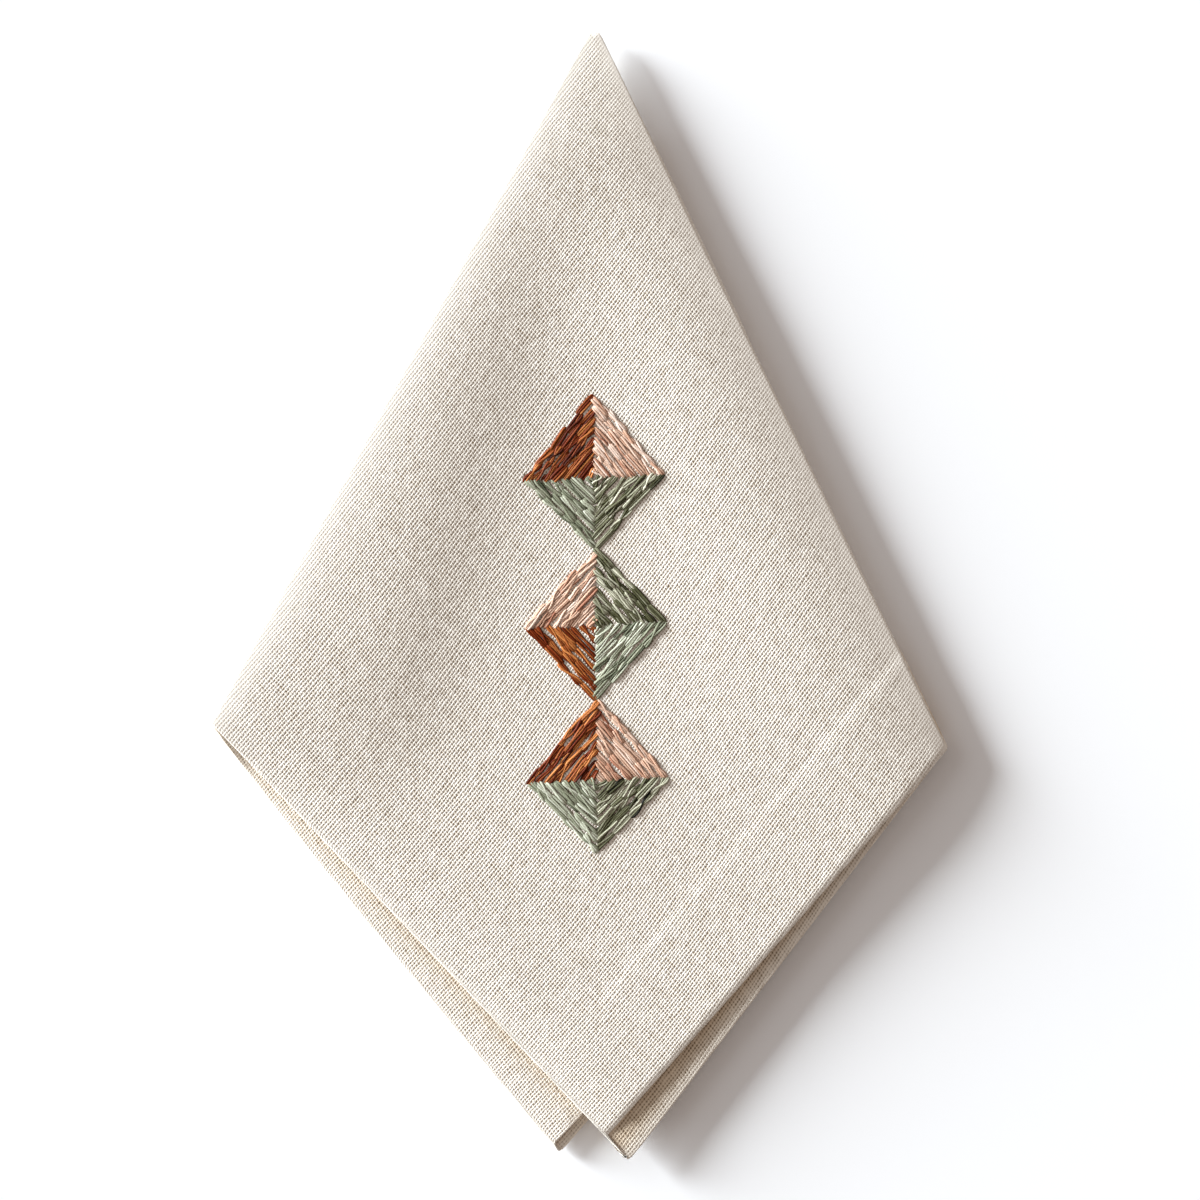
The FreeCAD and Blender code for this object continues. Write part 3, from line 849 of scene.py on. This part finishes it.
def linen():
    """Washed plain-weave linen: uneven threads over and under, with painted shade in the
    gaps between them and painted brown shade under the front's edges.
    """
    material, tree = new_material("linen_plain_weave")
    cloth = add(tree, "UVMap", uv_map="cloth")
    place = add(tree, "SeparateXYZ", [cloth])
    waves, ridges, slubs, gaps = [], [], [], []
    for across, along, pitch in ((0, 1, WARP), (1, 0, WEFT)):
        scale = [1.0, 1.0, 1.0]
        scale[across], scale[along] = DRIFT_CELLS
        scaled = add(tree, "Mapping", {0: cloth, "Scale": scale})
        drift = add(tree, "TexNoise", {"Vector": scaled, "Scale": 1.0, "Detail": 2.0})
        threads = add(tree, "Math", [place.outputs[across], 1 / pitch],
                      operation="MULTIPLY")
        threads = add(tree, "Math", [drift, DRIFT, threads], operation="MULTIPLY_ADD")
        turn = add(tree, "Math", [threads, math.pi], operation="MULTIPLY")
        wave = add(tree, "Math", [turn], operation="SINE")
        ridge = add(tree, "Math", [wave], operation="ABSOLUTE")
        # Slubs run along each thread.
        number = add(tree, "Math", [threads], operation="FLOOR")
        run = add(tree, "Math", [place.outputs[along], SLUB_CELLS], operation="MULTIPLY")
        spot = add(tree, "CombineXYZ", [number, run, SLUB_CUT + across])
        slub = add(tree, "TexNoise", {"Vector": spot, "Scale": 1.0, "Detail": 2.0,
                                      "Roughness": 0.6})
        # Each gap opens and closes along its length.
        halfway = add(tree, "Math", [threads, 0.5])
        number = add(tree, "Math", [halfway], operation="FLOOR")
        run = add(tree, "Math", [place.outputs[along], GAP_CELLS], operation="MULTIPLY")
        spot = add(tree, "CombineXYZ", [number, run, GAP_CUT])
        openness = add(tree, "TexNoise", {"Vector": spot, "Scale": 1.0, "Detail": 1.0})
        width = add(tree, "MapRange", [openness, *GAP_NOISE, *GAP_WIDTHS])
        gap = add(tree, "Math", [1.0, ridge], operation="SUBTRACT")
        waves.append(wave)
        ridges.append(ridge)
        slubs.append(slub)
        gaps.append(add(tree, "Math", [gap, width], operation="MULTIPLY"))
    # Relief: whichever thread is on top, each a round ridge.
    over = add(tree, "Math", waves, operation="MULTIPLY")
    warp, weft = (add(tree, "Math", [over, rise, ridge], operation="MULTIPLY_ADD")
                  for rise, ridge in zip((OVER_RISE, -OVER_RISE), ridges))
    relief = add(tree, "Math", [warp, weft], operation="MAXIMUM")
    # The iron flattens the threads along the folds and closes the gaps.
    pressed = add(tree, "Attribute", attribute_name="pressed")
    open_weave = add(tree, "Math", [1.0, pressed.outputs["Fac"]], operation="SUBTRACT")
    relief = add(tree, "Math", [relief, open_weave], operation="MULTIPLY")
    bump = add(tree, "Bump", {"Strength": 1.0, "Distance": WEAVE_RELIEF, "Height": relief})
    # Painted shade: a dark line down each gap between threads, darker in the holes where
    # they cross.
    hole = add(tree, "Math", gaps, operation="MULTIPLY")
    shade = add(tree, "Math", [hole, HOLE_SHADE, THREAD_SHADE], operation="MULTIPLY_ADD")
    for gap, weight in zip(gaps, GAP_SHADES):
        shade = add(tree, "Math", [gap, weight, shade], operation="MULTIPLY_ADD")
    for slub, weight in zip(slubs, SLUB_SHADES):
        centred = add(tree, "Math", [slub, 0.5], operation="SUBTRACT")
        shade = add(tree, "Math", [centred, weight, shade], operation="MULTIPLY_ADD")
    loose = add(tree, "Math", [shade, IRONED_SHADE], operation="SUBTRACT")
    shade = add(tree, "Math", [loose, open_weave, IRONED_SHADE], operation="MULTIPLY_ADD")
    ramp = add(tree, "ValToRGB", [shade])
    ramp.color_ramp.elements.new(0.5)
    for stop, (at, colour) in zip(ramp.color_ramp.elements, FLAX_SHADES):
        stop.position, stop.color = at, linear(colour)
    # deep carries the share of painted brown shade under the front's edges
    deep = add(tree, "Attribute", attribute_name="deep")
    colour = add(tree, "Mix", {0: deep.outputs["Fac"], 6: ramp, 7: linear(PAINTED_SHADE_COLOUR)},
                 data_type="RGBA", blend_type="MULTIPLY")
    shader = add(tree, "BsdfPrincipled", {
        "Base Color": colour.outputs[2], "Normal": bump, "Roughness": 0.9,
        "Specular IOR Level": 0.15, "Sheen Weight": 0.05})
    add(tree, "OutputMaterial", [shader])
    return material


# Floss. Its fibres twist slowly round the strand as they run along it.
TWIST = 130.0                    # turns of the pattern to the metre
FIBRES = 6.0                     # across half a strand
FLANK_SHADE = -0.34              # a strand's flanks are in shade
TONE_SHADE = 0.36
FIBRE_RELIEF = 0.00010
FLOSS_SHADES = (0.25, 0.62, 0.95)    # the shades of its three colours: painted shade, the floss's own colour and a painted highlight
# For each floss: the near-black of painted shade between strands, its own colour, and the
# pale colour of a painted highlight.
FLOSS_COLOURS = {
    "rust": ("#100200", "#782A06", "#DA8C4C"),
    "blush": ("#9C5E46", "#D6AC90", "#F4DECE"),
    "olive": ("#040400", "#5C5C3E", "#F0EED4"),
    "sage": ("#3A422E", "#969980", "#DEE0CC"),
}


def floss(name, colours):
    """Stranded cotton, laid flat: fine strands along each stitch, the brightest of them
    painted highlights, with painted shade dark between.
    """
    material, tree = new_material("stranded_cotton_" + name)
    thread = add(tree, "UVMap", uv_map="thread")
    place = add(tree, "SeparateXYZ", [thread])
    tone = add(tree, "Attribute", attribute_name="tone")
    twist = add(tree, "Math", [place.outputs[0], TWIST], operation="MULTIPLY")
    lines = add(tree, "Math", [place.outputs[1], FIBRES, twist], operation="MULTIPLY_ADD")
    spot = add(tree, "CombineXYZ", [lines, twist, 0.0])
    fibres = add(tree, "TexNoise", {"Vector": spot, "Scale": 1.3, "Detail": 3.0,
                                    "Roughness": 0.65})
    flank = add(tree, "Math", [place.outputs[1], 4.0], operation="POWER")
    shade = add(tree, "Math", [flank, FLANK_SHADE, fibres], operation="MULTIPLY_ADD")
    total = add(tree, "Math", [tone.outputs["Fac"], TONE_SHADE, shade],
                operation="MULTIPLY_ADD")
    ramp = add(tree, "ValToRGB", [total])
    ramp.color_ramp.elements.new(0.5)
    for stop, at, colour in zip(ramp.color_ramp.elements, FLOSS_SHADES, colours):
        stop.position, stop.color = at, linear(colour)
    bump = add(tree, "Bump", {"Strength": 1.0, "Distance": FIBRE_RELIEF, "Height": shade})
    shader = add(tree, "BsdfPrincipled", {"Base Color": ramp, "Normal": bump,
                                          "Roughness": 0.5, "Specular IOR Level": 0.12})
    add(tree, "OutputMaterial", [shader])
    return material


BOARD_WHITE = (0.82, 0.82, 0.82, 1)      # as it lights the cloth
SEEN_WHITE = (1.01, 1.01, 1.01, 1)


def white_ground():
    """Matt white board; the camera sees it white where the light reaches it unhindered."""
    material, tree = new_material("matt_white_board")
    seen = add(tree, "LightPath")
    colour = add(tree, "Mix", {0: seen.outputs["Is Camera Ray"],
                               6: BOARD_WHITE, 7: SEEN_WHITE}, data_type="RGBA")
    shader = add(tree, "BsdfDiffuse", [colour.outputs[2]])
    add(tree, "OutputMaterial", [shader])
    return material


# ---- Scene ----
LENS, SENSOR = 100.0, 36.0       # millimetres
VIEW_WIDTH = 0.360               # the camera sees this much from side to side
VIEW_LEVEL = 0.004               # at this height, inside the folded cloth
VIEW_MIDDLE = (0.0003, -0.1698)  # from the top corner
ROOM_COLOUR = (1.0, 0.87, 0.80, 1)
ROOM_STRENGTH = 0.315
WINDOW_COLOUR = (0.93, 1.0, 1.06)
WINDOW_BEARING = -115            # degrees: from the left, a little above
# Degrees above the table, degrees wide, and strength.
WINDOWS = {"low_window": (8.9, 21, 13.4), "wall_beside": (26, 40, 0.6)}
FLOOR = 4.0                      # from its middle to each side


def set_camera():
    data = bpy.data.cameras.new("camera")
    data.sensor_width = SENSOR
    data.lens = LENS
    camera = new_object("camera", data)
    x, y = APEX + VIEW_MIDDLE
    camera.location = (x, y, VIEW_WIDTH * LENS / SENSOR + VIEW_LEVEL)
    bpy.context.scene.camera = camera


def set_light():
    world = bpy.data.worlds.new("studio")
    bpy.context.scene.world = world
    world.use_nodes = True
    room = world.node_tree.nodes["Background"]
    room.inputs["Color"].default_value = ROOM_COLOUR
    room.inputs["Strength"].default_value = ROOM_STRENGTH
    for name, (elevation, spread, strength) in WINDOWS.items():
        data = bpy.data.lights.new(name, "SUN")
        data.angle = math.radians(spread)
        data.energy = strength
        data.color = WINDOW_COLOUR
        window = new_object(name, data)
        window.rotation_euler = [math.radians(turn)
                                 for turn in (90 - elevation, 0, WINDOW_BEARING)]


def set_floor():
    mesh = bpy.data.meshes.new("floor")
    corners = [(x * FLOOR, y * FLOOR, 0) for x, y in ((-1, -1), (1, -1), (1, 1), (-1, 1))]
    mesh.from_pydata(corners, [], [(0, 1, 2, 3)])
    mesh.materials.append(white_ground())
    floor = new_object("floor", mesh)


set_camera()
cloth = build_cloth(linen())
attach(cloth, "root")
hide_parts("folded_cloth")
threads = {name: floss(name, colours) for name, colours in FLOSS_COLOURS.items()}
random = np.random.default_rng(7)
for node in sorted(FIELDS):
    colour = node.split("_")[2]
    piece = build_field(node, threads[colour], random)
    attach(piece, "root")
    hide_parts(node)
set_floor()
set_light()
bpy.context.scene.view_settings.view_transform = "Standard"
